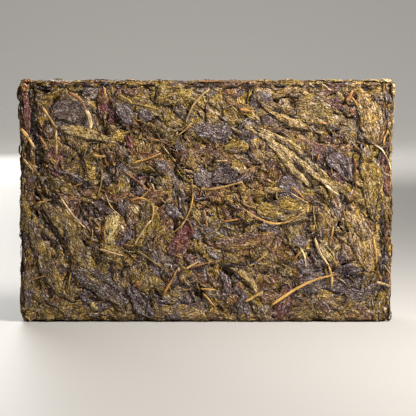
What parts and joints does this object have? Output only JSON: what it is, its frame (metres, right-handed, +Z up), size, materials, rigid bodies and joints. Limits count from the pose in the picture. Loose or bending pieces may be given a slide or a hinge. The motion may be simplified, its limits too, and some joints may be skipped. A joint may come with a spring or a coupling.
{
  "type": "pressed pu erh tea brick",
  "caption": "Rectangular slab of compressed whole-leaf tea, standing on one long edge, with folded leaves and thin stalks in relief on its faces.",
  "frame": {"origin": "centre of the brick's foot, the long narrow edge that it stands on", "axes": "+X along the brick's length, to the right as the front face is seen; +Y through its thickness, away from the front face; +Z up"},
  "size_m": [0.14, 0.022, 0.091],
  "materials": {
    "pressed_leaf": "dry pressed tea leaf, olive brown with darker leaves and golden stalks, faint sheen; wood stands in for the plant matter"
  },
  "bodies": {
    "root": {"tea_brick": "pressed_leaf"}
  },
  "joints": []
}
